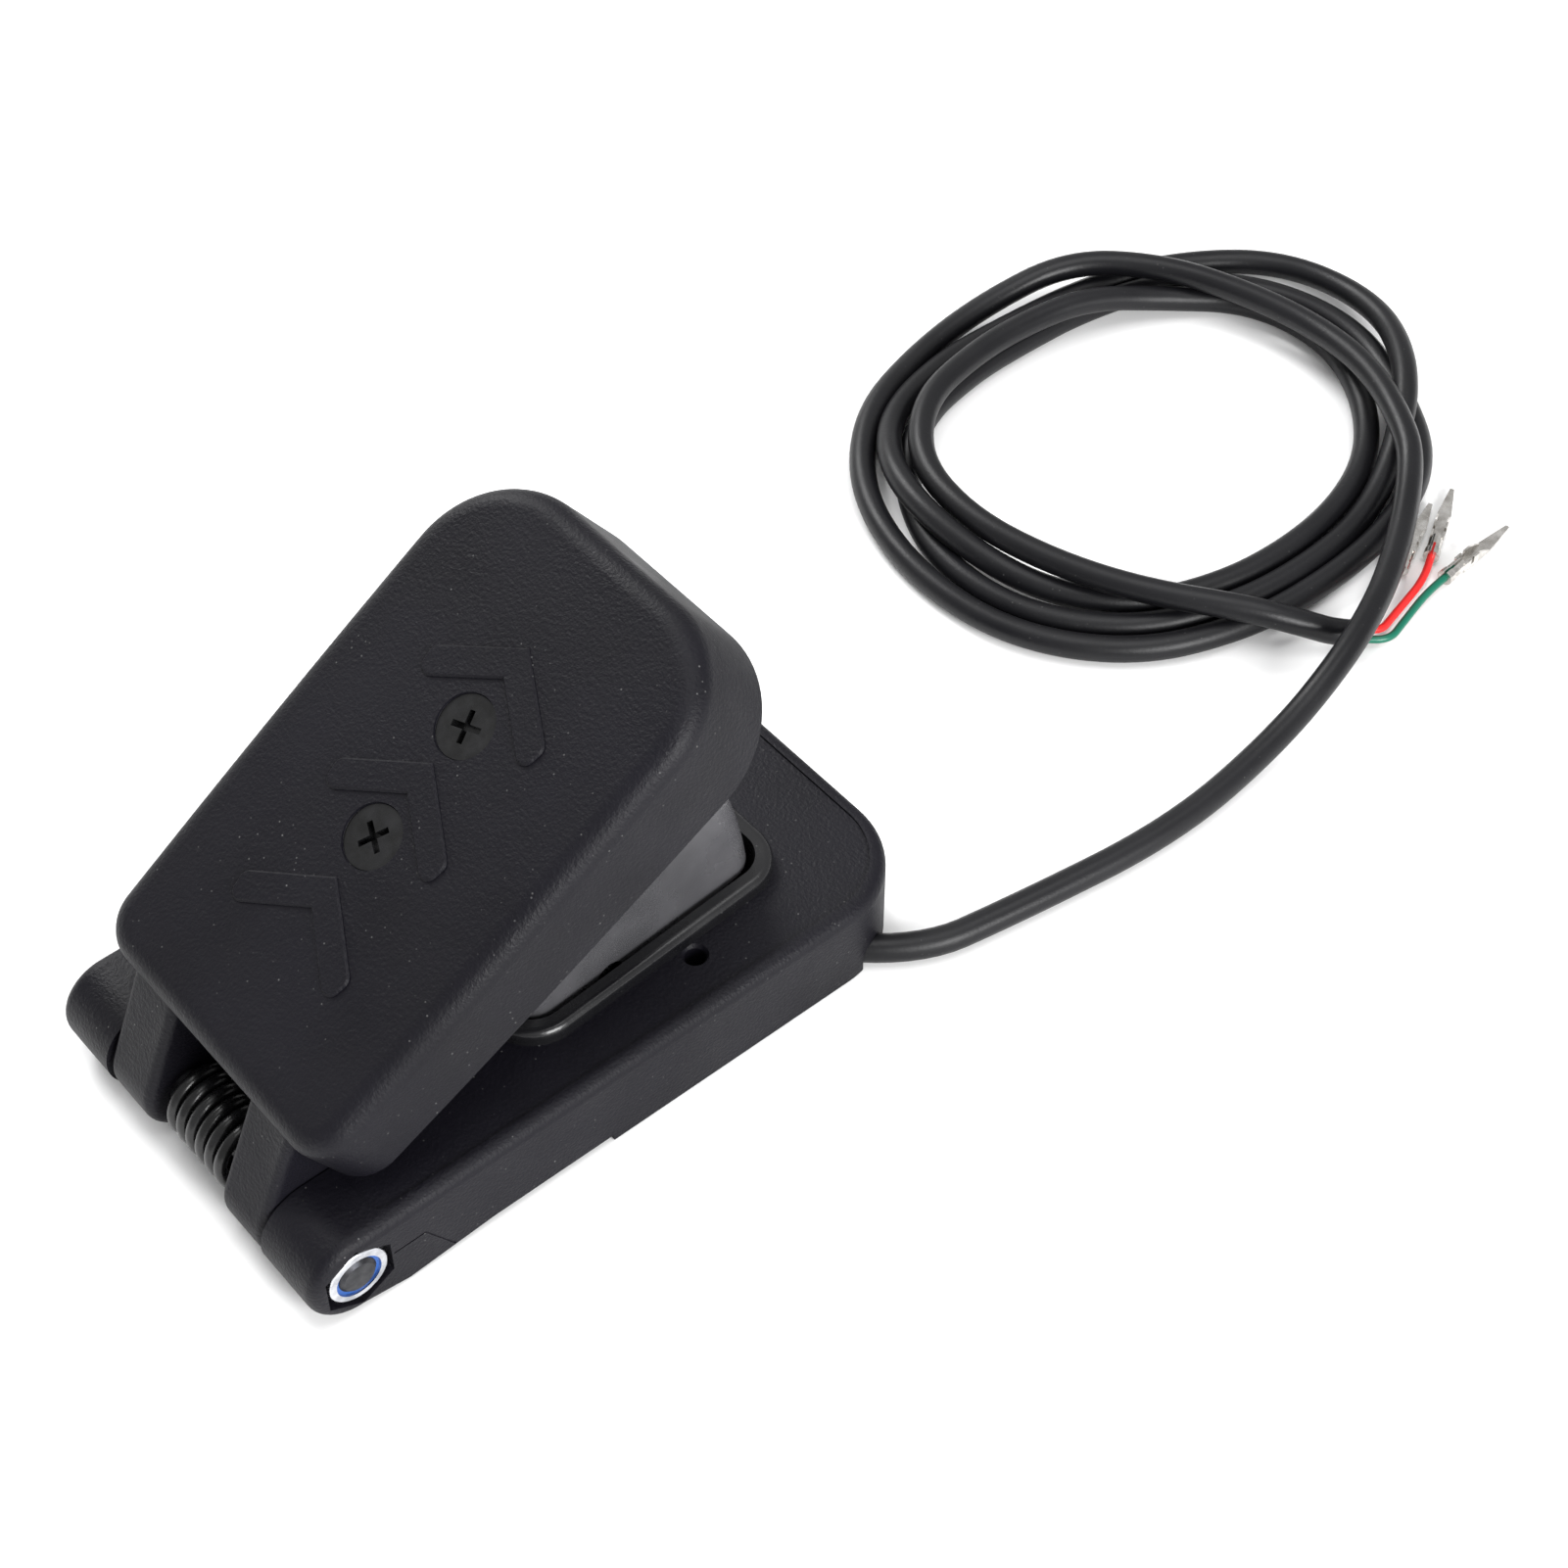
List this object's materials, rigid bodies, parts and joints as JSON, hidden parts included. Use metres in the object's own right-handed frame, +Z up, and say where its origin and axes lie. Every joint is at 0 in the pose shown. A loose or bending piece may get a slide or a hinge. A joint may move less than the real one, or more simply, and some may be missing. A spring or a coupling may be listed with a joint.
{
  "type": "foot pedal",
  "caption": "Sprung foot speed-control pedal with a flat base, hinged tread and coiled three-core lead, for a sewing machine.",
  "frame": {"origin": "centre of the base's footprint, on its underside", "axes": "+X along the hinge bolt towards its nut, +Y from the hinge towards the toe end and the lead, +Z up out of the deck"},
  "size_m": [0.1122, 0.2637, 0.0727],
  "materials": {
    "body_plastic": "matte fine grain",
    "gloss_black": "gloss",
    "black_steel": "gloss black",
    "dark_steel": "dark oiled",
    "zinc_steel": "bright zinc",
    "blue_nylon": "satin",
    "board_green": "satin",
    "cord_black": "satin",
    "core_red": "satin",
    "core_green": "satin",
    "tinned": "tinned"
  },
  "bodies": {
    "base": {"base_shell": "body_plastic", "well_collar": "gloss_black", "bottom_cover": "body_plastic", "cover_screws": "zinc_steel", "hinge_bolt": "dark_steel", "hinge_nut": "zinc_steel", "nut_insert": "blue_nylon", "pivot_sleeve": "dark_steel", "return_spring": "black_steel", "sensor_board": "board_green", "hall_sensor": "body_plastic", "cable_clamp": "body_plastic", "clamp_screw": "zinc_steel", "inner_core_red": "core_red", "inner_core_green": "core_green", "inner_core_black": "cord_black", "cable_lead": "cord_black", "cable_coil": "cord_black", "cable_tail": "cord_black", "core_red": "core_red", "core_green": "core_green", "core_black": "cord_black", "terminal_red": "tinned", "terminal_green": "tinned", "terminal_black": "tinned"},
    "pedal": {"pedal_shell": "body_plastic", "sector_arm": "gloss_black", "magnet": "zinc_steel", "pedal_screws": "black_steel", "pedal_nuts": "zinc_steel"}
  },
  "joints": [
    {"name": "pedal_hinge", "type": "hinge", "parent": "base", "child": "pedal", "pos_m": [0, -0.0465, 0.0075], "axis": [1, 0, 0], "range_deg": [-8.5, 0], "stiffness_Nm_per_rad": 1.5, "springref_deg": 28.65}
  ]
}
